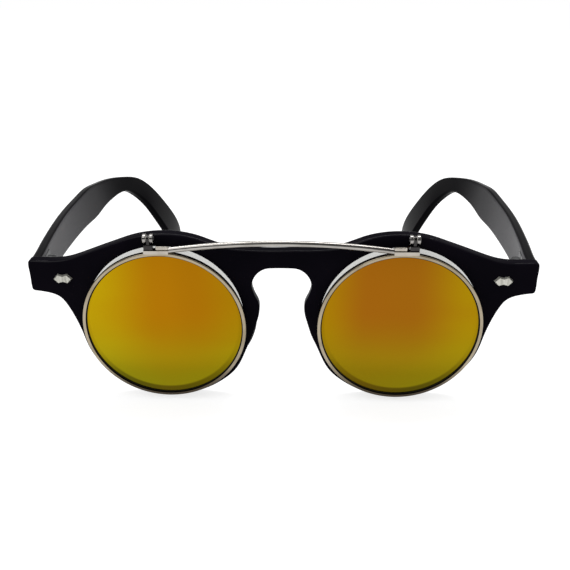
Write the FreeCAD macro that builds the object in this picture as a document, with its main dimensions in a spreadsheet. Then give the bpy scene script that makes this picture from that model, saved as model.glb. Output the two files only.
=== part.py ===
# Flip-up sunglasses: a round-eyed acetate front with two folding arms, and a
# metal clip with two mirrored lenses that turns up on hinges on the brow.
# +X is right as seen from the front, the arms run back along +Y, +Z is up.
# The glasses stand on z = 0, on the lower rims and on the ends of the arms.
import FreeCAD, Part
import math
import os
from types import SimpleNamespace
from FreeCAD import Placement, Rotation, Vector

doc = FreeCAD.newDocument("flip_up_sunglasses")

# Driving dimensions, in millimetres and degrees
SIZES = {
    # front
    "eye_dia": 46.0,             # round opening of each eye
    "eye_lift": 1.3,             # openings above the middle of the rims
    "bridge_width": 22.0,        # between the two openings
    "rim_width": 2.75,           # front beside each opening
    "brow_width": 3.7,           # front above each opening
    "bridge_drop": 1.3,          # top of the bridge below the top of the openings
    "end_reach": 12.35,          # end pieces beyond the rims
    "end_drop": 4.7,             # top of the end pieces below the top of the openings
    "end_height": 9.6,
    "end_corner": 0.9,           # corner radius of the end pieces
    "front_thickness": 3.6,
    "front_edge": 0.8,           # rounding along the front's outline
    "outline_fit": 0.05,         # arcs of the outline keep this close to its points
    "eye_edge": 0.4,             # rounding around the openings
    "front_lean": 2.5,           # the top of the front leans forward
    # plain lenses in the front
    "clear_thickness": 2.0,
    "clear_curve": 180.0,        # radius of the lens face
    "clear_bevel": 0.8,          # height of the bevel in the rim's groove
    "lens_fit": 0.05,            # between a bevel and its groove
    # nose pads
    "pad_length": 14.0,
    "pad_width": 4.2,
    "pad_depth": 3.6,
    "pad_turn": 20.0,
    # ornaments
    "plaque_length": 5.5,
    "plaque_height": 2.9,
    "plaque_thickness": 0.7,
    "plaque_inset": 9.6,         # from the outer end of the front
    "plaque_taper": 20.0,        # slope of its sides
    "plaque_pin_dia": 1.0,
    "plaque_pin_length": 2.0,
    # arm hinges
    "barrel_dia": 3.2,
    "barrel_stack": 7.0,         # height of the five barrels together
    "barrel_gap": 0.08,          # between two barrels
    "hinge_room": 0.35,          # from the barrels to the front and the arm
    "hinge_plate": 0.9,          # thickness of the sunk plates
    "front_plate_width": 4.6,
    "arm_plate_length": 6.5,
    "screw_dia": 1.4,
    "screw_head_dia": 2.4,
    "screw_head": 0.5,
    "screw_slot": 0.3,
    "pin_fit": 0.03,             # around the screws and the flip pins
    # arms
    "arm_thickness": 3.2,
    "arm_tip_thickness": 3.2,
    "arm_height": 9.2,
    "arm_tip_height": 12.6,
    "arm_edge": 0.9,             # rounding of the arm's long edges
    "arm_straight": 85.5,        # level run up to the bend
    "bend_radius": 28.0,
    "bend_angle": 57.0,
    "arm_bow": 3.5,              # how far the arm swells outwards
    "arm_roll": 8.0,             # its top leans outwards along the middle
    "arm_tuck": 17.0,            # how far its end comes in
    "butt_gap": 0.15,            # between the arm and the front
    "core_dia": 1.2,
    # flip hinges
    "flip_offset": 2.55,         # outwards from the eye centre
    "flip_axis_out": 1.65,       # axis in front of the brow
    "knuckle_dia": 2.6,
    "knuckle_width": 0.9,
    "knuckle_edge": 0.15,
    "flip_plate": 0.8,
    "flip_plate_sink": 0.5,      # front of the plate behind the brow's face
    "flip_plate_margin": 0.5,    # plate beyond the knuckles
    "flip_pin_dia": 0.9,
    "flip_pin_head_dia": 1.3,
    "flip_pin_head": 0.15,
    "tongue_width": 0.8,
    "tongue_eye_dia": 1.9,
    "washer_thickness": 0.1,
    "washer_dia": 2.0,
    "washer_play": 0.02,         # on each face of a washer
    # clip
    "clip_gap": 1.45,            # between the front and the clip's rims
    "clip_overlap": 0.7,         # clip's rims beyond the openings' outline
    "clip_depth": 1.7,
    "clip_rim_width": 0.9,
    "clip_edge": 0.3,
    "mirror_thickness": 0.9,
    "mirror_curve": 130.0,
    "mirror_sink": 0.2,          # lens edge behind the middle of the rim
    "mirror_bevel": 0.45,
    "bar_dia": 1.7,
    "bar_arch": 2.1,             # rise of the bar over its ends
    "bar_lift": 0.5,             # ends of the bar above the rims
    "block_offset": 1.25,        # inwards from the eye centre
    "block_length": 3.5,
    "block_height": 1.1,
    "block_depth": 1.3,
    "block_edge": 0.18,          # rounding of the blocks and the feet
    "saddle_lip": 0.25,          # saddle beyond the rim
    "saddle_top": 0.65,          # saddle above the rim
    "foot_width": 2.6,
    "foot_room": 0.3,            # between the foot of the tongue and the knuckles
    # common
    "overrun": 1.0,              # cuts run past the faces they open
}

# Sizes that follow from the driving ones
DERIVED = {
    "eye_radius": "eye_dia / 2",
    "eye_top": "eye_radius + eye_lift",
    "eye_x": "(eye_dia + bridge_width) / 2",
    "half_bridge": "bridge_width / 2",
    "rim_radius": "eye_radius + rim_width",
    "half_width": "eye_x + rim_radius + end_reach",
    "brow_rise": "eye_top + brow_width",
    "bridge_rise": "eye_top - bridge_drop",
    "end_rise": "eye_top - end_drop",
    "end_mid": "end_rise - end_height / 2",
    "barrel_radius": "barrel_dia / 2",
    "barrel_height": "(barrel_stack - 4 * barrel_gap) / 5",
    "hinge_offset": "barrel_radius + hinge_room",
    "arm_inner": "half_width - arm_thickness",
    "hinge_x": "arm_inner - hinge_offset",
    "knuckle_radius": "knuckle_dia / 2",
    "flip_x": "eye_x + flip_offset",
    "flip_rise": "5 / 6 * brow_width",   # axis above the opening
    "tongue_gap": "tongue_width + 2 * (washer_thickness + 2 * washer_play)",
    "bracket_width": "tongue_gap + 2 * knuckle_width",
    "clip_radius": "eye_radius + clip_overlap",
    "clip_inner": "clip_radius - clip_rim_width",
    "stem_height": "eye_top + flip_rise - clip_radius",
    "foot_top": "stem_height - knuckle_radius - foot_room",
    "saddle_drop": "4 / 5 * (clip_rim_width - mirror_bevel)",
    "block_x": "eye_x - block_offset",
    "bar_end": "block_x - block_length / 2",
    "saddle_length": "flip_x + foot_width / 2 - bar_end",
    "saddle_x": "bar_end + saddle_length / 2",
}

# Shapes as shares of the sizes they follow
brow_inner_shares = [(0.0, 0.0), (0.36, 0.07), (0.5, 0.23), (0.66, 0.65), (0.82, 0.93), (0.98, 1.0)]
brow_outer_shares = [(0.13, 0.94), (0.28, 0.74), (0.44, 0.48), (0.59, 0.22), (0.7, 0.06)]
brow_end_share = 0.8
end_under_shares = [(0.32, 0.05), (0.585, 0.155), (0.75, 0.37), (0.875, 0.645)]
nose_shares = [(0.787, -0.492), (0.737, -0.239), (0.636, 0.006), (0.572, 0.187), (0.641, 0.365),
               (0.607, 0.491), (0.47, 0.603), (0.284, 0.686), (0.0, 0.703)]
end_join_angle = -7.0
nose_join_angle = 217.5
flip_plate_share = 0.5
pad_side_share = 0.97
pad_level_share = -0.12
plaque_level_share = -0.062
plaque_waist_share = 0.72
plaque_shoulder_share = 0.5
plaque_pin_share = 0.3
core_end_share = 0.8
core_step_share = 0.06
arm_step_share = 0.06
arm_height_shares = [(0.0, 1.0), (0.3, 1.15), (0.45, 1.26), (0.64, 0.63), (0.72, 0.9), (0.8, 1.2),
                     (0.9, 1.4), (1.0, 1.37)]
arm_roll_shares = [(0.0, 0.0), (0.05, 0.0), (0.25, 1.0), (0.5, 1.0), (0.7, 0.0), (1.0, 0.0)]
bow_span_share = 0.65
tuck_start_share = 0.5
tip_round_angles = (0.0, 35.0, 58.0, 76.0)
rim_points = 10
corner_points = 4

sheet = doc.addObject("Spreadsheet::Sheet", "dims")
for row, (alias, value) in enumerate(list(SIZES.items()) + list(DERIVED.items()), start=1):
    sheet.set(f"A{row}", alias)
    sheet.set(f"B{row}", f"={value}" if alias in DERIVED else str(value))
    sheet.setAlias(f"B{row}", alias)
doc.recompute()
d = SimpleNamespace(**{alias: float(sheet.get(alias)) for alias in list(SIZES) + list(DERIVED)})

SIDES = (("left", -1), ("right", 1))
ALONG_X = Rotation(Vector(0, 1, 0), 90)
ALONG_Y = Rotation(Vector(1, 0, 0), -90)
SEAM_BEHIND = Rotation(Vector(0, 1, 0), -90)
lean = math.radians(d.front_lean)
nodes = {}


def curve_centre(curve, thickness, radius):
    # depth of a lens face's centre behind the middle of the lens edge
    return math.sqrt(curve ** 2 - radius ** 2) - thickness / 2


# Places in the front's own frame: y = 0 is its front face, z = 0 the middle of the rims
clip_y = -(d.clip_gap + d.clip_depth / 2)
mirror_centre_y = clip_y + d.mirror_sink + curve_centre(d.mirror_curve, d.mirror_thickness, d.clip_inner)
flip_z = d.eye_top + d.flip_rise
hinge_out = d.hinge_offset + d.barrel_stack / 2 * math.tan(lean)

# The front leans and stands on its lower rims
front_z = ((d.rim_radius - d.front_edge) * math.cos(lean) + d.front_edge
           - d.front_edge * math.sin(lean))


def back_face_y(height):
    # how far the leaning back face lies behind the front's origin, at a height over it
    return (d.front_thickness - height * math.sin(lean)) / math.cos(lean)


end_top_z = front_z + d.end_rise * math.cos(lean) + d.front_thickness * math.sin(lean)
hinge_z = front_z + d.end_mid * math.cos(lean) + d.front_thickness * math.sin(lean)
arm_z = end_top_z - d.end_height / 2
root_y = back_face_y(arm_z - front_z) + d.butt_gap

# Side view of an arm: a level run, a bend, and a tail that reaches the ground
bend = math.radians(d.bend_angle)
tail_z = arm_z - d.bend_radius * (1 - math.cos(bend))
tip_radius = d.arm_tip_height / 2
tail_length = tip_radius + (tail_z - tip_radius) / math.sin(bend)
bend_length = d.bend_radius * bend
arm_length = d.arm_straight + bend_length + tail_length
arm_reach = (d.arm_straight + d.bend_radius * math.sin(bend)
             + (tail_length - tip_radius) * math.cos(bend) + tip_radius)

# An arm leaves the front turned outwards by its bow
root_turn = math.degrees(math.atan(d.arm_bow * math.pi / (bow_span_share * arm_length)))

# The origin is midway between the clip's lenses and the ends of the arms
front_out = d.mirror_curve - mirror_centre_y * math.cos(lean)
front_y = (front_out - root_y - arm_reach) / 2
hinge_y = front_y + back_face_y(hinge_z - front_z) + hinge_out
standing = Placement(Vector(0, front_y, front_z), Rotation(Vector(1, 0, 0), d.front_lean))


def on_front(x, y, z, turn=Rotation()):
    return standing * Placement(Vector(x, y, z), turn)


def value(formula):
    return float(sheet.evalExpression(formula))


def solid(kind, name, place, **formulas):
    # one primitive with its sizes bound to the sheet
    thing = doc.addObject("Part::" + kind, name)
    for size, formula in formulas.items():
        thing.setExpression(size, formula)
    thing.Placement = place
    return thing


def joined(name, pieces):
    thing = doc.addObject("Part::MultiFuse", name)
    thing.Shapes = pieces
    thing.Refine = True
    return thing


def without(name, base, tool):
    thing = doc.addObject("Part::Cut", name)
    thing.Base = base
    thing.Tool = tool
    return thing


def grouped(name, pieces):
    thing = doc.addObject("Part::Compound", name)
    thing.Links = pieces
    return thing


def node(label, thing):
    thing.Label = label
    nodes[label] = thing
    return thing


def rounded_edges(name, base, radius_of):
    # rounds each edge by the radius that radius_of gives it
    doc.recompute()
    thing = doc.addObject("Part::Fillet", name)
    thing.Base = base
    radii = [radius_of(edge) for edge in base.Shape.Edges]
    thing.Edges = [(i, r, r) for i, r in enumerate(radii, start=1) if r]
    return thing


def origin_plane(body, role):
    return next(f for f in body.Origin.OriginFeatures if f.Role == role)


def on_circle(centre, radius, first, last, count):
    angles = [math.radians(first + (last - first) * i / (count - 1)) for i in range(count)]
    return [centre + Vector(math.cos(a), math.sin(a), 0) * radius for a in angles]


def brow_points():
    inner = [Vector(x * d.eye_x, d.bridge_rise + z * (d.brow_rise - d.bridge_rise), 0)
             for x, z in brow_inner_shares]
    side = d.half_width - d.eye_x
    outer = [Vector(d.eye_x + x * side, d.end_rise + z * (d.brow_rise - d.end_rise), 0)
             for x, z in brow_outer_shares]
    return inner + outer


def end_points():
    # round the end piece and in under it, to where the rim starts
    corner = d.end_corner
    low = d.end_rise - d.end_height
    side = d.half_width - corner
    top = on_circle(Vector(side, d.end_rise - corner, 0), corner, 90, 0, corner_points)
    base = on_circle(Vector(side, low + corner, 0), corner, 0, -90, corner_points)
    start = base[-1]
    rim_start = on_circle(Vector(d.eye_x, 0, 0), d.rim_radius, end_join_angle, nose_join_angle, 2)[0]
    under = [Vector(start.x + x * (rim_start.x - start.x), start.y + z * (rim_start.y - start.y), 0)
             for x, z in end_under_shares]
    shoulder = Vector(d.eye_x + brow_end_share * (d.half_width - d.eye_x), d.end_rise, 0)
    return [shoulder, (shoulder + top[0]) / 2] + top + [(top[-1] + base[0]) / 2] + base + under


def nose_points():
    # each lies at a share of the way from the middle to the opening at its height
    points = []
    for x, z in nose_shares:
        level = z * d.eye_radius
        edge = d.eye_x - math.sqrt(d.eye_radius ** 2 - level ** 2)
        points.append(Vector(x * edge, d.eye_lift + level, 0))
    return points


def front_outline():
    # one closed outline: brow, end pieces, lower rims and keyhole bridge
    rim = on_circle(Vector(d.eye_x, 0, 0), d.rim_radius, end_join_angle, nose_join_angle - 360,
                    rim_points)
    right = brow_points() + end_points() + rim + nose_points()
    left = [Vector(-p.x, p.y, 0) for p in reversed(right[1:-1])]
    curve = Part.BSplineCurve()
    curve.interpolate(Points=right + left, PeriodicFlag=True)
    arcs = curve.toBiArcs(d.outline_fit)
    return Part.Wire([arc.toShape() for arc in arcs])


def front_blank():
    outline = doc.addObject("Part::Feature", "front_outline")
    outline.Shape = Part.Face(front_outline())
    plate = doc.addObject("Part::Extrusion", "front_plate")
    plate.Base = outline
    plate.DirMode = "Custom"
    plate.Dir = Vector(0, 0, -1)
    plate.Solid = True
    plate.setExpression("LengthFwd", "dims.front_thickness")
    rounded = rounded_edges("front_rounded", plate,
                            lambda edge: d.front_edge if lies_flat(edge) else 0)
    eyes = []
    for side, sign in SIDES:
        low = Vector(sign * d.eye_x, d.eye_lift, -d.front_thickness - d.overrun)
        eyes.append(solid("Cylinder", f"eye_opening_{side}", Placement(low, Rotation()),
                          Radius="dims.eye_radius", Height="dims.front_thickness + 2 * dims.overrun"))
    opened = without("front_opened", rounded, grouped("eye_openings", eyes))
    blank = rounded_edges("front_blank", opened, lambda edge: d.eye_edge if around_eye(edge) else 0)
    blank.Placement = standing * Placement(Vector(), Rotation(Vector(1, 0, 0), 90))
    return blank


def lies_flat(edge):
    return edge.BoundBox.ZLength < d.lens_fit


def around_eye(edge):
    return edge.Closed and lies_flat(edge) and abs(edge.BoundBox.XLength - d.eye_dia) < d.lens_fit


def bevel(name, place, inner, height, fit):
    # two cones base to base: the ridge of a lens, or the groove that takes it
    low, high = f"({inner} - {fit})", f"({inner} + {height} - {fit})"
    depth = value(height)
    front = solid("Cone", name + "_front", place * Placement(Vector(0, 0, -depth), Rotation()),
                  Radius1=low, Radius2=high, Height=height)
    back = solid("Cone", name + "_back", place, Radius1=high, Radius2=low, Height=height)
    return [front, back]


def lens(name, place, inner, kind, reach):
    # a meniscus with a ridge round its edge; local +Z points to the back
    fit = "dims.lens_fit"
    thickness, curve = f"dims.{kind}_thickness", f"dims.{kind}_curve"
    depth = curve_centre(value(curve), value(thickness), reach)
    centre = place * Placement(Vector(0, 0, depth), SEAM_BEHIND)
    stock = rod(name + "_stock", place, f"{inner} - {fit}", "dims.eye_dia")
    ridge = bevel(name + "_ridge", place, inner, f"dims.{kind}_bevel", fit)
    edge = joined(name + "_edge", [stock] + ridge)
    front = solid("Sphere", name + "_front", centre, Radius=curve)
    domed = doc.addObject("Part::Common", name + "_domed")
    domed.Base = edge
    domed.Tool = front
    back = solid("Sphere", name + "_back", centre, Radius=f"{curve} - {thickness}")
    return node(name, without(name, domed, back))


def clip_rim(side, place):
    name = f"clip_rim_{side}"
    wide = rod(name + "_outer", place, "dims.clip_radius", "dims.clip_depth")
    hole = rod(name + "_hole", place, "dims.clip_inner", "2 * dims.clip_depth")
    ring = without(name + "_ring", wide, hole)
    vee = bevel(name + "_vee", shifted(place, 0, 0, d.mirror_sink), "dims.clip_inner",
                "dims.mirror_bevel", "0")
    grooved = without(name + "_grooved", ring, grouped(name + "_groove", vee))
    return node(name, rounded_edges(name, grooved, lambda edge: d.clip_edge if on_outside(edge) else 0))


def is_circle(edge):
    return isinstance(edge.Curve, Part.Circle)


def on_outside(edge):
    return is_circle(edge) and edge.Curve.Radius > d.clip_radius - d.lens_fit


def block(name, place, length, width, height):
    # a box centred on its place
    half = [value(formula) / 2 for formula in (length, width, height)]
    corner = place * Placement(Vector(*half) * -1, Rotation())
    return solid("Box", name, corner, Length=length, Width=width, Height=height)


def shifted(place, x, y, z):
    return place * Placement(Vector(x, y, z), Rotation())


def rod(name, place, radius, length):
    # a cylinder centred on its place, along the place's Z
    low = place * Placement(Vector(0, 0, -value(length) / 2), Rotation())
    return solid("Cylinder", name, low, Radius=radius, Height=length)


def nose_pad(side, sign):
    name = f"nose_pad_{side}"
    centre = on_front(sign * pad_side_share * d.half_bridge, d.front_thickness,
                      pad_level_share * d.eye_dia, Rotation(Vector(0, 1, 0), -sign * d.pad_turn))
    egg = solid("Ellipsoid", name + "_egg", centre, Radius1="dims.pad_length / 2",
                Radius2="dims.pad_width / 2", Radius3="dims.pad_depth")
    egg.Angle1, egg.Angle2, egg.Angle3 = -90, 90, 360
    front = block(name + "_flat", centre * Placement(Vector(0, -d.pad_length / 2, 0), Rotation()),
                  "2 * dims.pad_length", "dims.pad_length", "2 * dims.pad_length")
    return node(name, without(name, egg, front))


def plaque(side, sign):
    # a waisted ornament on the end piece with two pins behind it
    name = f"plaque_{side}"
    half, high = d.plaque_length / 2, d.plaque_height / 2
    quarter = [(half, 0), (plaque_shoulder_share * half, high), (0, plaque_waist_share * high)]
    upper = quarter + [(-x, z) for x, z in reversed(quarter[:-1])]
    points = [Vector(x, z, 0) for x, z in upper + [(x, -z) for x, z in reversed(upper[1:-1])]]
    body = doc.addObject("PartDesign::Body", name + "_plate")
    sketch = body.newObject("Sketcher::SketchObject", name + "_outline")
    sketch.AttachmentSupport = [(origin_plane(body, "XZ_Plane"), "")]
    sketch.MapMode = "FlatFace"
    for start, end in zip(points, points[1:] + points[:1]):
        sketch.addGeometry(Part.LineSegment(start, end), False)
    pad = body.newObject("PartDesign::Pad", name + "_pad")
    pad.Profile = sketch
    pad.setExpression("Length", "dims.plaque_thickness")
    pad.setExpression("TaperAngle", "-dims.plaque_taper")
    body.Tip = pad
    level = d.end_mid + plaque_level_share * d.end_height
    place = on_front(sign * (d.half_width - d.plaque_inset), 0, level)
    body.Placement = place
    pins = []
    for i, x in enumerate((-plaque_pin_share * half, plaque_pin_share * half)):
        inside = place * Placement(Vector(x, -d.plaque_thickness / 2, 0), ALONG_Y)
        pins.append(solid("Cylinder", f"{name}_pin_{i}", inside, Radius="dims.plaque_pin_dia / 2",
                          Height="dims.plaque_pin_length + dims.plaque_thickness / 2"))
    return node(name, joined(name, [body] + pins))


def flip_bracket(side, axis):
    # two knuckles whose webs run into a plate set inside the brow
    name = f"flip_bracket_{side}"
    pieces = []
    step = (d.tongue_gap + d.knuckle_width) / 2
    plate_y = d.flip_axis_out + d.flip_plate_sink + d.flip_plate / 2
    for i, x in enumerate((-step, step)):
        drum = rod(f"{name}_drum_{i}", axis * Placement(Vector(x, 0, 0), ALONG_X),
                   "dims.knuckle_radius", "dims.knuckle_width")
        pieces.append(rounded_edges(f"{name}_knuckle_{i}", drum,
                                    lambda edge: d.knuckle_edge if is_circle(edge) else 0))
        pieces.append(block(f"{name}_web_{i}", shifted(axis, x, plate_y / 2, -d.knuckle_radius / 2),
                            "dims.knuckle_width", str(plate_y), "dims.knuckle_radius"))
    plate_z = d.eye_top + d.brow_width / 2 - flip_z
    pieces.append(block(f"{name}_plate", shifted(axis, 0, plate_y, plate_z),
                        "dims.bracket_width + 2 * dims.flip_plate_margin", "dims.flip_plate",
                        f"{flip_plate_share} * dims.brow_width"))
    bore = rod(f"{name}_bore", axis * Placement(Vector(), ALONG_X),
               "dims.flip_pin_dia / 2 + dims.pin_fit", "dims.bracket_width + 2 * dims.overrun")
    return node(name, without(name, joined(name + "_blank", pieces), bore))


def flip_pin(side, axis):
    name = f"flip_pin_{side}"
    pieces = [rod(name + "_shank", axis * Placement(Vector(), ALONG_X), "dims.flip_pin_dia / 2",
                  "dims.bracket_width + dims.flip_pin_head")]
    step = (d.bracket_width + d.flip_pin_head) / 2
    for i, x in enumerate((-step, step)):
        pieces.append(rod(f"{name}_head_{i}", axis * Placement(Vector(x, 0, 0), ALONG_X),
                          "dims.flip_pin_head_dia / 2", "dims.flip_pin_head"))
    return node(name, joined(name, pieces))


def flip_washers(side, axis):
    name = f"flip_washers_{side}"
    step = (d.tongue_width + d.washer_thickness) / 2 + d.washer_play
    rings = []
    for i, x in enumerate((-step, step)):
        place = axis * Placement(Vector(x, 0, 0), ALONG_X)
        disc = rod(f"{name}_disc_{i}", place, "dims.washer_dia / 2", "dims.washer_thickness")
        hole = rod(f"{name}_hole_{i}", place, "dims.flip_pin_dia / 2 + dims.pin_fit",
                   "2 * dims.washer_thickness")
        rings.append(without(f"{name}_ring_{i}", disc, hole))
    return node(name, grouped(name, rings))


def flip_tongue(side, axis):
    # round eye between the knuckles, on a foot that stands on the saddle
    name = f"flip_tongue_{side}"
    turning = axis * Placement(Vector(), ALONG_X)
    eye = rod(name + "_eye", turning, "dims.tongue_eye_dia / 2", "dims.tongue_width")
    to_rim = clip_y + d.flip_axis_out
    foot_z = d.saddle_top - d.stem_height
    stem = block(name + "_stem", shifted(axis, 0, to_rim / 2, foot_z / 2), "dims.tongue_width",
                 "dims.knuckle_radius", "dims.stem_height - dims.saddle_top")
    foot = block(name + "_foot_stock", shifted(axis, 0, to_rim, foot_z + (d.foot_top - d.saddle_top) / 2),
                 "dims.foot_width", "dims.block_depth", "dims.foot_top - dims.saddle_top")
    foot = rounded_edges(name + "_foot", foot, lambda edge: d.block_edge)
    bore = rod(name + "_bore", turning, "dims.flip_pin_dia / 2 + dims.pin_fit", "dims.bracket_width")
    blank = joined(name + "_blank", [eye, stem, foot])
    return node(name, without(name, blank, bore))


def bar_mount(side, sign, rim):
    # the saddle on the rim, under the tongue and the block that holds the bar
    middle = on_front(sign * d.saddle_x, clip_y, d.clip_radius)
    saddle = block(f"rim_saddle_{side}_stock",
                   shifted(middle, 0, 0, (d.saddle_top - d.saddle_drop) / 2),
                   "dims.saddle_length", "dims.clip_depth + 2 * dims.saddle_lip",
                   "dims.saddle_top + dims.saddle_drop")
    node(f"rim_saddle_{side}", without(f"rim_saddle_{side}", saddle, rim))
    above = on_front(sign * d.block_x, clip_y, d.clip_radius + d.saddle_top + d.block_height / 2)
    holder = block(f"bar_block_{side}_stock", above, "dims.block_length", "dims.block_depth",
                   "dims.block_height")
    node(f"bar_block_{side}", rounded_edges(f"bar_block_{side}", holder, lambda edge: d.block_edge))


def bar_trim(side, sign):
    # the bar lies on the rim and stops at the block
    rim = rod(f"bar_trim_{side}_rim", on_front(sign * d.eye_x, clip_y, 0, ALONG_Y),
              "dims.clip_radius", "2 * dims.bar_dia")
    end = block(f"bar_trim_{side}_end", on_front(sign * d.block_x, clip_y, d.clip_radius),
                "dims.block_length", "2 * dims.bar_dia", "4 * dims.bar_dia")
    return [rim, end]


def bridge_bar():
    # an arched round bar from block to block
    radius = (d.bar_end ** 2 + d.bar_arch ** 2) / (2 * d.bar_arch)
    half_angle = math.degrees(math.asin((d.bar_end + d.overrun) / radius))
    crown = d.clip_radius + d.bar_lift + d.bar_arch
    upright = Rotation(Vector(1, 0, 0), 90) * Rotation(Vector(0, 0, 1), 90 - half_angle)
    arch = solid("Torus", "bridge_arch", on_front(0, clip_y, crown - radius, upright),
                 Radius1="(dims.bar_end ^ 2 + dims.bar_arch ^ 2) / (2 * dims.bar_arch)",
                 Radius2="dims.bar_dia / 2")
    arch.Angle3 = 2 * half_angle
    trims = [tool for side, sign in SIDES for tool in bar_trim(side, sign)]
    return node("bridge_bar", without("bridge_bar", arch, grouped("bar_trims", trims)))


def barrel_level(index):
    return hinge_z + (index - 2) * (d.barrel_height + d.barrel_gap)


def hinge_barrels(name, sign, indexes):
    return [rod(f"{name}_barrel_{i}", upright_at(sign * d.hinge_x, hinge_y, barrel_level(i)),
                "dims.barrel_radius", "dims.barrel_height") for i in indexes]


def upright_at(x, y, z):
    return Placement(Vector(x, y, z), Rotation())


def hinge_hole(name, sign):
    return rod(name + "_hole", upright_at(sign * d.hinge_x, hinge_y, hinge_z),
               "dims.screw_dia / 2 + dims.pin_fit", "dims.barrel_stack + 2 * dims.overrun")


def front_hinge(side, sign):
    # three barrels on a plate sunk into the back of the end piece
    name = f"front_hinge_{side}"
    inside = on_front(sign * d.hinge_x, d.front_thickness - d.hinge_plate / 2, d.end_mid)
    pieces = [block(name + "_plate", inside, "dims.front_plate_width", "dims.hinge_plate",
                    "dims.barrel_stack")]
    for i in (0, 2, 4):
        level = barrel_level(i)
        start = front_y + back_face_y(level - front_z) - d.hinge_plate / 2
        middle = upright_at(sign * d.hinge_x, (start + hinge_y) / 2, level)
        pieces.append(block(f"{name}_neck_{i}", middle, "dims.barrel_dia", str(hinge_y - start),
                            "dims.barrel_height"))
    pieces += hinge_barrels(name, sign, (0, 2, 4))
    return node(name, without(name, joined(name + "_blank", pieces), hinge_hole(name, sign)))


def arm_hinge(side, sign):
    # two barrels on a plate sunk into the inner face of the arm
    name = f"arm_hinge_{side}"
    along = upright_at(sign * d.arm_inner, hinge_y, hinge_z)
    along.Rotation = Rotation(Vector(0, 0, 1), -sign * root_turn)
    middle = shifted(along, sign * d.hinge_plate / 2, (d.arm_plate_length - d.barrel_radius) / 2, 0)
    pieces = [block(name + "_plate", middle, "dims.hinge_plate",
                    "dims.arm_plate_length + dims.barrel_radius", "dims.barrel_stack")]
    for i in (1, 3):
        neck_x = sign * (d.hinge_x + (d.hinge_offset + d.hinge_plate / 2) / 2)
        pieces.append(block(f"{name}_neck_{i}", upright_at(neck_x, hinge_y, barrel_level(i)),
                            "dims.hinge_offset + dims.hinge_plate / 2", "dims.barrel_dia",
                            "dims.barrel_height"))
    pieces += hinge_barrels(name, sign, (1, 3))
    return node(name, without(name, joined(name + "_blank", pieces), hinge_hole(name, sign)))


def hinge_screw(side, sign):
    name = f"hinge_screw_{side}"
    middle = upright_at(sign * d.hinge_x, hinge_y, hinge_z)
    shank = rod(name + "_shank", middle, "dims.screw_dia / 2", "dims.barrel_stack")
    head = rod(name + "_head", shifted(middle, 0, 0, (d.barrel_stack + d.screw_head) / 2),
               "dims.screw_head_dia / 2", "dims.screw_head")
    slot = block(name + "_slot", shifted(middle, 0, 0, d.barrel_stack / 2 + d.screw_head),
                 "2 * dims.screw_head_dia", "dims.screw_slot", "dims.screw_head")
    return node(name, without(name, joined(name + "_blank", [shank, head]), slot))


def between(shares, place):
    # straight-line reading of a table of shares
    for (left, low), (right, high) in zip(shares, shares[1:]):
        if place <= right:
            return low + (high - low) * (place - left) / (right - left)
    return shares[-1][1]


def arm_centre(length, sign):
    # the arm's middle line and its slope, at a length along it from the front
    share = length / arm_length
    if length <= d.arm_straight:
        slope, y, z = 0, length, 0
    else:
        slope = min((length - d.arm_straight) / d.bend_radius, bend)
        tail = max(length - d.arm_straight - bend_length, 0)
        y = d.arm_straight + d.bend_radius * math.sin(slope) + tail * math.cos(slope)
        z = -d.bend_radius * (1 - math.cos(slope)) - tail * math.sin(slope)
    out = d.arm_bow * math.sin(math.pi * share / bow_span_share) if share < bow_span_share else 0
    past = max(share - tuck_start_share, 0) / (1 - tuck_start_share)
    x = d.half_width - d.arm_thickness / 2 + out - d.arm_tuck * (1 - math.cos(math.pi * past)) / 2
    return Vector(sign * x, front_y + root_y + y, arm_z + z), slope


def section_place(length, sign):
    centre, slope = arm_centre(length, sign)
    tilt = lean if length == 0 else -slope
    roll = sign * d.arm_roll * between(arm_roll_shares, length / arm_length)
    turn = Rotation(Vector(1, 0, 0), math.degrees(tilt)) * Rotation(Vector(0, 1, 0), roll)
    return Placement(centre, turn)


def rounded_section(place, width, height, corner):
    # a rounded rectangle across the arm: local X is its thickness, local Z its height
    x, z = width / 2 - corner, height / 2 - corner
    turns = [Vector(math.cos(math.radians(a)), 0, math.sin(math.radians(a))) * corner
             for a in range(0, 360, 45)]
    edges = []
    for i, (cx, cz) in enumerate(((x, z), (-x, z), (-x, -z), (x, -z))):
        centre = Vector(cx, 0, cz)
        first, middle, last = (centre + turns[(2 * i + k) % 8] for k in range(3))
        edges.append(Part.Arc(first, middle, last).toShape())
        following = ((-x, z), (-x, -z), (x, -z), (x, z))[i]
        edges.append(Part.makeLine(last, Vector(following[0], 0, following[1]) + turns[(2 * i + 2) % 8]))
    wire = Part.Wire(edges)
    wire.Placement = place
    return wire


def arm_sections(sign):
    steps = int((1 - tip_radius / arm_length) / arm_step_share)
    lengths = [(arm_length - tip_radius) * i / steps for i in range(steps)]
    full = [(length, between(arm_height_shares, length / arm_length) * d.arm_height, 1)
            for length in lengths]
    turned = [math.radians(a) for a in tip_round_angles]
    tip = [(arm_length - tip_radius * (1 - math.sin(a)), d.arm_tip_height * math.cos(a), math.cos(a / 2))
           for a in turned]
    sections = []
    for length, height, swell in full + tip:
        width = d.arm_thickness + (d.arm_tip_thickness - d.arm_thickness) * length / arm_length
        corner = min(d.arm_edge, height / 3)
        sections.append(rounded_section(section_place(length, sign), width * swell, height, corner))
    return sections


def core_wire(side, sign):
    name = f"core_wire_{side}"
    steps = int(core_end_share / core_step_share)
    rings = []
    for i in range(steps + 1):
        place = section_place(core_end_share * arm_length * i / steps, sign)
        ring = Part.Wire(Part.makeCircle(d.core_dia / 2, Vector(), Vector(0, 1, 0)))
        ring.Placement = place
        rings.append(ring)
    wire = doc.addObject("Part::Feature", name)
    wire.Shape = Part.makeLoft(rings, True, False)
    return node(name, wire)


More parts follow.
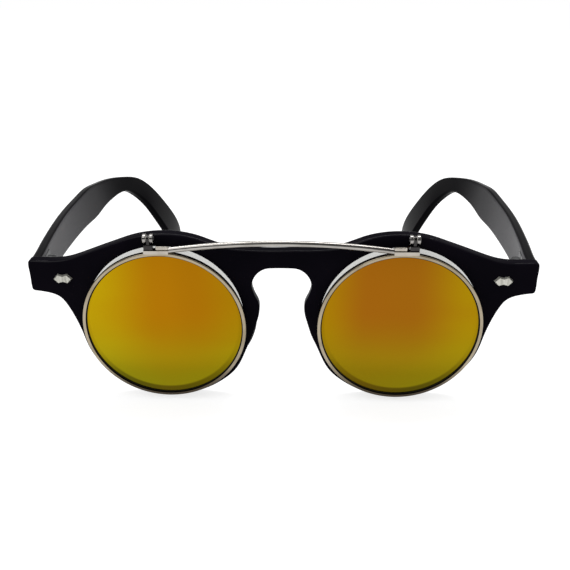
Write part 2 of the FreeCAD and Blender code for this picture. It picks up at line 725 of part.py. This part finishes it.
def arm(side, sign, inside):
    name = f"arm_{side}"
    blank = doc.addObject("Part::Feature", name + "_blank")
    blank.Shape = Part.makeLoft(arm_sections(sign), True, False)
    return node(name, without(name, blank, grouped(name + "_inside", inside)))


def frame_front(sunk):
    grooves = []
    for side, sign in SIDES:
        middle = on_front(sign * d.eye_x, d.front_thickness / 2, d.eye_lift, ALONG_Y)
        grooves += bevel(f"eye_groove_{side}", middle, "dims.eye_radius", "dims.clear_bevel", "0")
        lens(f"clear_lens_{side}", middle, "dims.eye_radius", "clear", d.eye_radius)
    tools = grouped("front_sinkings", grooves + sunk)
    return node("frame_front", without("frame_front", front_blank(), tools))


def build():
    sunk = []
    for side, sign in SIDES:
        axis = on_front(sign * d.flip_x, -d.flip_axis_out, flip_z)
        rim_place = on_front(sign * d.eye_x, clip_y, 0, ALONG_Y)
        rim = clip_rim(side, rim_place)
        sunk_place = shifted(rim_place, 0, 0, d.mirror_sink)
        lens(f"mirror_lens_{side}", sunk_place, "dims.clip_inner", "mirror", d.clip_inner)
        flip_tongue(side, axis)
        bar_mount(side, sign, rim)
        sunk += [flip_bracket(side, axis), plaque(side, sign), front_hinge(side, sign)]
        flip_pin(side, axis)
        flip_washers(side, axis)
        nose_pad(side, sign)
        hinge_screw(side, sign)
        arm(side, sign, [arm_hinge(side, sign), core_wire(side, sign)])
    bridge_bar()
    frame_front(sunk)
    doc.recompute()


def check_and_write():
    for thing in doc.Objects:
        if "Invalid" in thing.State or "Error" in thing.State:
            raise RuntimeError(f"{thing.Name} failed to build")
    for label, thing in nodes.items():
        shape = thing.Shape
        if shape.isNull() or not shape.isValid():
            raise RuntimeError(f"{label} has no sound shape")
        expected = len(thing.Links) if thing.TypeId == "Part::Compound" else 1
        if len(shape.Solids) != expected:
            raise RuntimeError(f"{label} came out as {len(shape.Solids)} solids")
    os.makedirs("parts", exist_ok=True)
    for label, thing in nodes.items():
        thing.Shape.exportStep(f"parts/{label}.step")
        print(f"{label}: {thing.Shape.Volume:.2f} mm3")


build()
check_and_write()
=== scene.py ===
import math
import bpy
import bmesh
from mathutils import Matrix, Vector


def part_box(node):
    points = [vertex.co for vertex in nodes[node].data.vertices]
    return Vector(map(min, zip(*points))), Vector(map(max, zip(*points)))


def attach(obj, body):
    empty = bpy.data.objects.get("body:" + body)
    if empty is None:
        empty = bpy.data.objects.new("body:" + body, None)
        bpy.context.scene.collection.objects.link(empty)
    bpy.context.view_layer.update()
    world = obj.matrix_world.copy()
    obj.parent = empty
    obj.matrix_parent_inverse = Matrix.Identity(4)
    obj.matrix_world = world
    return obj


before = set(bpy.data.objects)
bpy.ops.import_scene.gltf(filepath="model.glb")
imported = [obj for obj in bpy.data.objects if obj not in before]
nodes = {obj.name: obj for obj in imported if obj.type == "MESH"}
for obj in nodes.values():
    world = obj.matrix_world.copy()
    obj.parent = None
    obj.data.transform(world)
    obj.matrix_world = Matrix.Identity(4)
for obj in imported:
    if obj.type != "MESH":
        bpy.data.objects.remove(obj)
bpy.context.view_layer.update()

print("frame loaded:", len(nodes), "nodes")


# helpers for the node trees

def newMaterial(name):
    material = bpy.data.materials.new(name)
    material.use_nodes = True
    tree = material.node_tree
    return material, tree, tree.nodes["Principled BSDF"]


def addNode(tree, kind, **settings):
    made = tree.nodes.new(kind)
    for key, value in settings.items():
        setattr(made, key, value)
    return made


def noise(tree, coords, scale, detail=3.0):
    made = addNode(tree, "ShaderNodeTexNoise")
    made.inputs["Scale"].default_value = scale
    made.inputs["Detail"].default_value = detail
    tree.links.new(coords, made.inputs["Vector"])
    return made.outputs["Fac"]


def remap(tree, source, low, high, toLow, toHigh, easing="SMOOTHSTEP"):
    made = addNode(tree, "ShaderNodeMapRange", clamp=True, interpolation_type=easing)
    for slot, value in zip(("From Min", "From Max", "To Min", "To Max"), (low, high, toLow, toHigh)):
        made.inputs[slot].default_value = value
    tree.links.new(source, made.inputs["Value"])
    return made.outputs["Result"]


def choose(tree, factor, low, high):
    # low where the factor is 0, high where it is 1; each is a number or an output
    made = addNode(tree, "ShaderNodeMapRange")
    for slot, value in (("To Min", low), ("To Max", high)):
        if isinstance(value, float):
            made.inputs[slot].default_value = value
        else:
            tree.links.new(value, made.inputs[slot])
    tree.links.new(factor, made.inputs["Value"])
    return made.outputs["Result"]


def combine(tree, operation, first, second):
    made = addNode(tree, "ShaderNodeMath", operation=operation)
    tree.links.new(first, made.inputs[0])
    tree.links.new(second, made.inputs[1])
    return made.outputs[0]


def mixColour(tree, factor, first, second):
    made = addNode(tree, "ShaderNodeMix", data_type="RGBA")
    for socket, value in ((made.inputs[6], first), (made.inputs[7], second)):  # the colour sockets A and B
        if isinstance(value, tuple):
            socket.default_value = (*value, 1.0)
        else:
            tree.links.new(value, socket)
    tree.links.new(factor, made.inputs[0])
    return made.outputs[2]


def ramp(tree, source, stops):
    made = addNode(tree, "ShaderNodeValToRGB")
    made.color_ramp.interpolation = "EASE"
    elements = made.color_ramp.elements
    while len(elements) < len(stops):
        elements.new(0.5)
    for element, (place, colour) in zip(elements, stops):
        element.position = place
        element.color = (*colour, 1.0)
    tree.links.new(source, made.inputs["Fac"])
    return made.outputs["Color"]


def bump(tree, height, strength, distance):
    made = addNode(tree, "ShaderNodeBump")
    made.inputs["Strength"].default_value = strength
    made.inputs["Distance"].default_value = distance
    tree.links.new(height, made.inputs["Height"])
    return made.outputs["Normal"]


def axes(tree, vector):
    made = addNode(tree, "ShaderNodeSeparateXYZ")
    tree.links.new(vector, made.inputs["Vector"])
    return made.outputs


def objectCoords(tree, stretch=(1.0, 1.0, 1.0), centre=(0.0, 0.0, 0.0)):
    coords = addNode(tree, "ShaderNodeTexCoord")
    mapping = addNode(tree, "ShaderNodeMapping")
    mapping.inputs["Scale"].default_value = stretch
    mapping.inputs["Location"].default_value = [-c * s for c, s in zip(centre, stretch)]
    tree.links.new(coords.outputs["Object"], mapping.inputs["Vector"])
    return mapping.outputs["Vector"]


def facing(tree, axis):
    # how far the surface faces along one of the piece's own axes
    return axes(tree, addNode(tree, "ShaderNodeTexCoord").outputs["Normal"])[axis]


def fromSrgb(*channels):
    # screen colours from 0 to 255, by the standard curve
    return tuple((c / 255 / 12.92) if c < 11 else ((c / 255 + 0.055) / 1.055) ** 2.4 for c in channels)


# black acetate of the front, the nose pads and the arms

acetate = {
    "front": {
        "colour": fromSrgb(16, 14, 21),
        "haze": fromSrgb(21, 18, 26),
        "ior": 1.04,
        "roughness": (0.07, 0.15),
        "coatRoughness": 0.06,
    },
    "arm": {
        "colour": fromSrgb(5, 4, 8),
        "haze": fromSrgb(9, 8, 12),
        "ior": 1.09,
        "roughness": (0.16, 0.26),
        "coatRoughness": 0.1,
    },
    "hazeScale": 45.0,
    "hazeDetail": 4.0,
    "hazeSpread": (0.35, 0.7),
    "roughSpread": (0.3, 0.75),
    "polishScale": 420.0,
    "polishDetail": 2.0,
    "polishStrength": 0.12,
    "polishDepth": 0.00002,
    "edgeCoat": 0.2,
    "edgeRise": (0.3, 0.5),         # how far up an edge faces where its gloss comes in
    "edgeFall": (0.86, 0.95),       # and where it goes out, before the flat top
    "outerCoat": 0.42,
    "backFacing": (0.06, 0.2),
    "outerFacing": (0.3, 0.6),
    # painted reflection: a lighter grey for the arms' inner faces near the hinge
    "innerSheen": fromSrgb(112, 111, 114),
    "innerSheenFacing": (0.55, 0.9),
    "innerSheenReach": (-0.055, 0.038),
}


def paintedInnerSheen(tree, inward):
    # painted reflection: the arms' inner faces are painted a lighter grey towards the hinge, standing in
    # for the bright room they reflect
    start, full = acetate["innerSheenFacing"]
    inner = remap(tree, facing(tree, "X"), start * inward, full * inward, 0.0, 1.0)
    near = remap(tree, axes(tree, objectCoords(tree))["Y"], *acetate["innerSheenReach"], 1.0, 0.0)
    return combine(tree, "MULTIPLY", inner, near)


def polishedFront(tree):
    # the upper rounded edges and the back have a higher gloss than the face
    up = facing(tree, "Z")
    rising = remap(tree, up, *acetate["edgeRise"], 0.0, acetate["edgeCoat"])
    edge = combine(tree, "MULTIPLY", rising, remap(tree, up, *acetate["edgeFall"], 1.0, 0.0))
    back = remap(tree, facing(tree, "Y"), *acetate["backFacing"], 0.0, acetate["outerCoat"])
    return combine(tree, "MAXIMUM", edge, back)


def polishedArm(tree, inward):
    # the arms' outer faces are polished
    start, full = acetate["outerFacing"]
    return remap(tree, facing(tree, "X"), -start * inward, -full * inward, 0.0, acetate["outerCoat"])


def makeAcetate(name, part, inward=0):
    # inward is the side that an arm's inner face looks to, and 0 for the front
    look = acetate[part]
    material, tree, shader = newMaterial(name)
    coords = objectCoords(tree)
    cloud = noise(tree, coords, acetate["hazeScale"], acetate["hazeDetail"])
    tint = remap(tree, cloud, *acetate["hazeSpread"], 0.0, 1.0)
    colour = mixColour(tree, tint, look["colour"], look["haze"])
    if inward:
        # painted reflection of the bright room, lighter on the inner faces towards the hinge
        colour = mixColour(tree, paintedInnerSheen(tree, inward), colour, acetate["innerSheen"])
        coat = polishedArm(tree, inward)
    else:
        coat = polishedFront(tree)
    tree.links.new(colour, shader.inputs["Base Color"])
    tree.links.new(coat, shader.inputs["Coat Weight"])
    roughness = remap(tree, cloud, *acetate["roughSpread"], *look["roughness"])
    tree.links.new(roughness, shader.inputs["Roughness"])
    fine = noise(tree, coords, acetate["polishScale"], acetate["polishDetail"])
    normal = bump(tree, fine, acetate["polishStrength"], acetate["polishDepth"])
    tree.links.new(normal, shader.inputs["Normal"])
    shader.inputs["Coat Roughness"].default_value = look["coatRoughness"]
    shader.inputs["IOR"].default_value = look["ior"]
    return material


# polished pale metal of the clip and the flip hinges, as a colour and its worn shade

polish = {
    "saddle": (fromSrgb(196, 189, 179), fromSrgb(178, 171, 160)),
    "rim": (fromSrgb(178, 166, 144), fromSrgb(160, 148, 126)),
    "bar": (fromSrgb(184, 180, 175), fromSrgb(164, 160, 155)),
    "knuckle": (fromSrgb(168, 165, 162), fromSrgb(138, 135, 132)),
    # dark steel, set darker still to stand in for the shade between the knuckles: partly its own colour,
    # partly painted shade
    "tongue": (fromSrgb(66, 64, 64), fromSrgb(46, 45, 46)),
    # painted shade: a darker colour for the rim's lower part
    "shadeBelow": fromSrgb(84, 75, 64),
    "shadeBelowHeight": (0.003, 0.016),
    "wearScale": 160.0,
    "wearDetail": 4.0,
    "wearSpread": (0.4, 0.7),
    "roughSpread": (0.3, 0.75),
    "roughness": (0.1, 0.2),
    "lineStretch": (0.15, 1.0, 1.0),
    "lineScale": 700.0,
    "lineDetail": 2.0,
    "lineStrength": 0.08,
    "lineDepth": 0.00001,
}


def makePolish(name, part, shadedBelow=False):
    material, tree, shader = newMaterial(name)
    coords = objectCoords(tree)
    cloud = noise(tree, coords, polish["wearScale"], polish["wearDetail"])
    metal = mixColour(tree, remap(tree, cloud, *polish["wearSpread"], 0.0, 1.0), *polish[part])
    if shadedBelow:
        # painted shade: the rim's colour darkens towards its bottom, standing in for the darker reflection
        # on its lower side
        low = remap(tree, axes(tree, coords)["Z"], *polish["shadeBelowHeight"], 1.0, 0.0)
        metal = mixColour(tree, low, metal, polish["shadeBelow"])
    tree.links.new(metal, shader.inputs["Base Color"])
    roughness = remap(tree, cloud, *polish["roughSpread"], *polish["roughness"])
    tree.links.new(roughness, shader.inputs["Roughness"])
    along = objectCoords(tree, polish["lineStretch"])
    lines = noise(tree, along, polish["lineScale"], polish["lineDetail"])
    tree.links.new(bump(tree, lines, polish["lineStrength"], polish["lineDepth"]), shader.inputs["Normal"])
    shader.inputs["Metallic"].default_value = 1.0
    return material


# satin metal of the ornaments and the hidden hinges

satin = {
    "plaque": {
        "colours": (fromSrgb(222, 221, 212), fromSrgb(198, 197, 188)),
        "roughness": (0.48, 0.62),
        "stretch": (1.0, 1.0, 0.2),
    },
    "hinge": {
        "colours": (fromSrgb(104, 104, 105), fromSrgb(80, 80, 82)),
        "roughness": (0.34, 0.5),
        "stretch": (1.0, 1.0, 0.15),
    },
    "grainScale": 1300.0,
    "grainSpread": (0.35, 0.7),
    "roughSpread": (0.3, 0.7),
    "grainStrength": 0.25,
    "grainDepth": 0.00003,
}


def makeSatin(name, part):
    look = satin[part]
    material, tree, shader = newMaterial(name)
    grain = noise(tree, objectCoords(tree, look["stretch"]), satin["grainScale"])
    tint = remap(tree, grain, *satin["grainSpread"], 0.0, 1.0)
    tree.links.new(mixColour(tree, tint, *look["colours"]), shader.inputs["Base Color"])
    roughness = remap(tree, grain, *satin["roughSpread"], *look["roughness"])
    tree.links.new(roughness, shader.inputs["Roughness"])
    tree.links.new(bump(tree, grain, satin["grainStrength"], satin["grainDepth"]), shader.inputs["Normal"])
    shader.inputs["Metallic"].default_value = 1.0
    return material


# amber mirror coating: orange brown in the middle, yellow to the sides, olive below, with a painted shade
# round the lower edge

mirror = {
    "left": {
        "across": ((0.0, fromSrgb(168, 126, 8)), (0.3, fromSrgb(171, 113, 8)),
                   (0.5, fromSrgb(176, 117, 8)), (0.95, fromSrgb(189, 157, 9))),
        "cloud": fromSrgb(171, 113, 8),
        "low": fromSrgb(155, 149, 14),
        # painted shade colour for the band round the lower edge
        "foot": fromSrgb(66, 62, 6),
    },
    "right": {
        "across": ((0.0, fromSrgb(169, 126, 8)), (0.3, fromSrgb(160, 98, 16)),
                   (0.55, fromSrgb(159, 99, 16)), (0.97, fromSrgb(172, 138, 8))),
        "cloud": fromSrgb(160, 98, 16),
        "low": fromSrgb(152, 141, 12),
        "foot": fromSrgb(66, 60, 6),
    },
    "lowReach": (-0.95, 0.3),       # heights and reaches are shares of the lens's radius
    "edgeReach": (0.92, 0.955),
    "edgeShift": 0.06,
    "edgeHeight": (-0.95, -0.25),
    "edgeShade": (0.8, 0.14),
    "cloudStretch": (0.4, 1.0, 1.0),
    "cloudScale": 60.0,
    "cloudDetail": 2.0,
    "cloudSpread": (0.35, 0.75),
    "cloudShare": 0.2,
    "roughSpread": (0.3, 0.7),
    "roughness": (0.1, 0.2),
    "backFacing": (0.2, 0.5),
    "backRoughness": 0.36,
}


def mirrorColour(tree, side, cloud):
    tints = mirror[side]
    low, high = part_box(f"mirror_lens_{side}")
    centre, half = (low + high) / 2, (high.z - low.z) / 2
    outward = -1.0 if side == "left" else 1.0
    place = axes(tree, objectCoords(tree, (outward / half, 0.0, 1.0 / half), centre))
    top = ramp(tree, remap(tree, place["X"], -1.0, 1.0, 0.0, 1.0, "LINEAR"), tints["across"])
    body = mixColour(tree, remap(tree, place["Z"], *mirror["lowReach"], 1.0, 0.0), top, tints["low"])
    # painted shade round the lower side of the lens, standing in for the frame's dark rim seen through it
    # and reflected in it
    raised = centre + Vector((0.0, 0.0, mirror["edgeShift"] * half))
    reach = addNode(tree, "ShaderNodeVectorMath", operation="LENGTH")
    tree.links.new(objectCoords(tree, (1.0 / half, 0.0, 1.0 / half), raised), reach.inputs[0])
    rim = remap(tree, reach.outputs["Value"], *mirror["edgeReach"], 0.0, 1.0)
    depth = remap(tree, place["Z"], *mirror["edgeHeight"], *mirror["edgeShade"])
    edge = mixColour(tree, combine(tree, "MULTIPLY", rim, depth), body, tints["foot"])
    haze = remap(tree, cloud, *mirror["cloudSpread"], 0.0, mirror["cloudShare"])
    return mixColour(tree, haze, edge, tints["cloud"])


def makeMirror(name, side):
    material, tree, shader = newMaterial(name)
    coords = objectCoords(tree, mirror["cloudStretch"])
    cloud = noise(tree, coords, mirror["cloudScale"], mirror["cloudDetail"])
    tree.links.new(mirrorColour(tree, side, cloud), shader.inputs["Base Color"])
    # the coating is on the front, so the back is duller
    front = remap(tree, cloud, *mirror["roughSpread"], *mirror["roughness"])
    back = remap(tree, facing(tree, "Y"), *mirror["backFacing"], 0.0, 1.0)
    tree.links.new(choose(tree, back, front, mirror["backRoughness"]), shader.inputs["Roughness"])
    shader.inputs["Metallic"].default_value = 1.0
    return material


# plain lenses of the front

clear = {
    "colour": fromSrgb(192, 193, 191),
    "ior": 1.5,
    "smearScale": 30.0,
    "smearSpread": (0.4, 0.8),
    "roughness": (0.0, 0.012),
}


def makeClear():
    material, tree, shader = newMaterial("plainLens")
    smear = noise(tree, objectCoords(tree), clear["smearScale"])
    roughness = remap(tree, smear, *clear["smearSpread"], *clear["roughness"])
    tree.links.new(roughness, shader.inputs["Roughness"])
    shader.inputs["Base Color"].default_value = (*clear["colour"], 1.0)
    shader.inputs["Transmission Weight"].default_value = 1.0
    shader.inputs["IOR"].default_value = clear["ior"]
    return material


# pale nylon of the washers

nylon = {
    "colour": fromSrgb(222, 220, 210),
    "shade": fromSrgb(196, 194, 184),
    "grainScale": 700.0,
    "roughness": 0.5,
}


def makeNylon():
    material, tree, shader = newMaterial("washerNylon")
    grain = noise(tree, objectCoords(tree), nylon["grainScale"])
    tree.links.new(mixColour(tree, grain, nylon["colour"], nylon["shade"]), shader.inputs["Base Color"])
    shader.inputs["Roughness"].default_value = nylon["roughness"]
    return material


# each finish and the nodes that get it; a name without a side stands for both

finishes = {
    "acetate": makeAcetate("polishedAcetate", "front"),
    "armLeft": makeAcetate("tumbledAcetateLeft", "arm", 1),
    "armRight": makeAcetate("tumbledAcetateRight", "arm", -1),
    "saddle": makePolish("saddleNickel", "saddle"),
    "rim": makePolish("rimNickel", "rim", shadedBelow=True),
    "bar": makePolish("barNickel", "bar"),
    "knuckle": makePolish("knuckleChrome", "knuckle"),
    "tongue": makePolish("tongueSteelShaded", "tongue"),
    "plaque": makeSatin("satinOrnament", "plaque"),
    "hinge": makeSatin("hingeSteel", "hinge"),
    "clear": makeClear(),
    "nylon": makeNylon(),
    "mirrorLeft": makeMirror("amberMirrorLeft", "left"),
    "mirrorRight": makeMirror("amberMirrorRight", "right"),
}

dressing = {
    "acetate": ("frame_front", "nose_pad"),
    "armLeft": ("arm_left",),
    "armRight": ("arm_right",),
    "saddle": ("bar_block", "rim_saddle"),
    "rim": ("clip_rim",),
    "bar": ("bridge_bar",),
    "knuckle": ("flip_bracket",),
    "tongue": ("flip_tongue",),
    "plaque": ("plaque",),
    "hinge": ("front_hinge", "arm_hinge", "hinge_screw", "flip_pin", "core_wire"),
    "clear": ("clear_lens",),
    "nylon": ("flip_washers",),
    "mirrorLeft": ("mirror_lens_left",),
    "mirrorRight": ("mirror_lens_right",),
}


def dress(nodeName, material):
    mesh = nodes[nodeName].data
    mesh.materials.clear()
    mesh.materials.append(material)


for finish, starts in dressing.items():
    for start in starts:
        for side in ("", "_left", "_right"):
            if start + side in nodes:
                dress(start + side, finishes[finish])
print("finishes assigned")


# dark bead between each mirrored lens and its rim: a dark ring put into the gap where there is only shade,
# a painted shade

bead = {
    "radius": 0.02261,
    "half": (0.0002, 0.00011),      # half of its width and of its depth
    "profile": ((-1, 0.4), (-0.6, -1), (0.6, -1), (1, 0.4), (0.6, 1), (-0.6, 1)),
    "forward": 0.00032,
    "lean": 2.5,
    "steps": 160,
    # painted shade: the bead's dark colour stands in for the shadow in the gap
    "colour": fromSrgb(20, 18, 14),
    "shade": fromSrgb(34, 31, 24),
    "grainScale": 600.0,
    "roughSpread": (0.3, 0.7),
    "roughness": (0.35, 0.6),
    "ior": 1.2,
}


def makeBeadMaterial():
    material, tree, shader = newMaterial("paintedShadeBead")
    grain = noise(tree, objectCoords(tree), bead["grainScale"])
    tree.links.new(mixColour(tree, grain, bead["colour"], bead["shade"]), shader.inputs["Base Color"])
    tree.links.new(remap(tree, grain, *bead["roughSpread"], *bead["roughness"]), shader.inputs["Roughness"])
    shader.inputs["IOR"].default_value = bead["ior"]
    return material


def makeBead(side, material):
    low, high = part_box(f"clip_rim_{side}")
    lean = Matrix.Rotation(math.radians(bead["lean"]), 4, "X")
    place = Matrix.Translation((low + high) / 2) @ lean
    wide, deep = bead["half"]
    shape = bmesh.new()
    corners = [shape.verts.new((bead["radius"] + x * wide, y * deep - bead["forward"], 0.0))
               for x, y in bead["profile"]]
    profile = [shape.edges.new(pair) for pair in zip(corners, corners[1:] + corners[:1])]
    bmesh.ops.spin(shape, geom=corners + profile, cent=(0, 0, 0), axis=(0, 1, 0), dvec=(0, 0, 0),
                   angle=2 * math.pi, steps=bead["steps"], use_merge=True)
    bmesh.ops.transform(shape, matrix=place, verts=shape.verts)
    bmesh.ops.recalc_face_normals(shape, faces=shape.faces)
    for face in shape.faces:
        face.smooth = True
    mesh = bpy.data.meshes.new(f"lensShadeBead_{side}")
    shape.to_mesh(mesh)
    shape.free()
    mesh.materials.append(material)
    piece = bpy.data.objects.new(f"lensShadeBead_{side}", mesh)
    bpy.context.scene.collection.objects.link(piece)
    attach(piece, "flip_clip")


paintedShadeBead = makeBeadMaterial()
for side in ("left", "right"):
    makeBead(side, paintedShadeBead)
print("beads made")


# floor, light and camera

studio = {
    "floorSize": 6.0,
    "floorColour": (0.6, 0.6, 0.6),
    "floorGlow": 0.76,
    "floorShine": 0.52,
    "worldLight": 0.4,
    "worldSeen": 1.0,
    "roomFront": 0.12,
    "roomBack": 0.6,
    "roomTurn": (-0.45, -0.05),     # where the room goes from its front to its back level
    "lampAim": (0.0, -0.05, 0.03),
    "keyPlace": (-0.35, -0.45, 0.75),
    "keySize": (0.5, 0.5),
    "keyPower": 1.2,
    "topPlace": (0.0, 0.1, 0.7),
    "topSize": (0.6, 0.12),
    "topPower": 2.0,
}


def bySight(tree, lighting, shine, seen):
    # one level for rays that only light, one for reflections, one for what the camera sees
    path = addNode(tree, "ShaderNodeLightPath")
    reflected = choose(tree, path.outputs["Is Glossy Ray"], lighting, shine)
    straight = combine(tree, "MAXIMUM", path.outputs["Is Camera Ray"], path.outputs["Is Transmission Ray"])
    return choose(tree, straight, reflected, seen)


def makeFloor():
    mesh = bpy.data.meshes.new("floor")
    shape = bmesh.new()
    bmesh.ops.create_grid(shape, x_segments=1, y_segments=1, size=studio["floorSize"] / 2)
    shape.to_mesh(mesh)
    shape.free()
    floor = bpy.data.objects.new("floor", mesh)
    bpy.context.scene.collection.objects.link(floor)
    material = bpy.data.materials.new("paleFloor")
    material.use_nodes = True
    tree = material.node_tree
    tree.nodes.clear()
    out = addNode(tree, "ShaderNodeOutputMaterial")
    both = addNode(tree, "ShaderNodeAddShader")
    matte = addNode(tree, "ShaderNodeBsdfDiffuse")
    matte.inputs["Color"].default_value = (*studio["floorColour"], 1.0)
    glow = addNode(tree, "ShaderNodeEmission")
    tree.links.new(bySight(tree, 0.0, studio["floorShine"], studio["floorGlow"]), glow.inputs["Strength"])
    tree.links.new(matte.outputs[0], both.inputs[0])
    tree.links.new(glow.outputs[0], both.inputs[1])
    tree.links.new(both.outputs[0], out.inputs["Surface"])
    mesh.materials.append(material)


def makeWorld():
    # a white room that is dim on the camera's side, as polished metal shows it
    world = bpy.data.worlds.new("studio")
    bpy.context.scene.world = world
    world.use_nodes = True
    tree = world.node_tree
    sky = tree.nodes["Background"]
    sky.inputs["Color"].default_value = (1.0, 1.0, 1.0, 1.0)
    depth = axes(tree, addNode(tree, "ShaderNodeTexCoord").outputs["Generated"])["Y"]
    room = remap(tree, depth, *studio["roomTurn"], studio["roomFront"], studio["roomBack"])
    level = bySight(tree, studio["worldLight"], room, studio["worldSeen"])
    tree.links.new(level, sky.inputs["Strength"])


def makeLamp(name, place, size, power):
    data = bpy.data.lights.new(name, "AREA")
    data.energy = power
    data.shape = "RECTANGLE"
    data.size, data.size_y = size
    lamp = bpy.data.objects.new(name, data)
    lamp.location = place
    lamp.rotation_euler = (Vector(studio["lampAim"]) - Vector(place)).to_track_quat("-Z", "Y").to_euler()
    bpy.context.scene.collection.objects.link(lamp)


shot = {
    "place": (0.00633, -0.25034, 0.12188),
    "turn": (65.779, 0.282, 1.518),
    "lens": 45.25,
    "sensor": 36.0,
    "clip": (0.01, 20.0),
}


def makeCamera():
    data = bpy.data.cameras.new("photoCamera")
    data.lens = shot["lens"]
    data.sensor_width = shot["sensor"]
    data.clip_start, data.clip_end = shot["clip"]
    camera = bpy.data.objects.new("photoCamera", data)
    camera.location = shot["place"]
    camera.rotation_euler = [math.radians(a) for a in shot["turn"]]
    bpy.context.scene.collection.objects.link(camera)
    bpy.context.scene.camera = camera


makeFloor()
makeWorld()
makeLamp("keySoftbox", studio["keyPlace"], studio["keySize"], studio["keyPower"])
makeLamp("topStrip", studio["topPlace"], studio["topSize"], studio["topPower"])
makeCamera()
bpy.context.scene.view_settings.view_transform = "Standard"
print("studio ready")
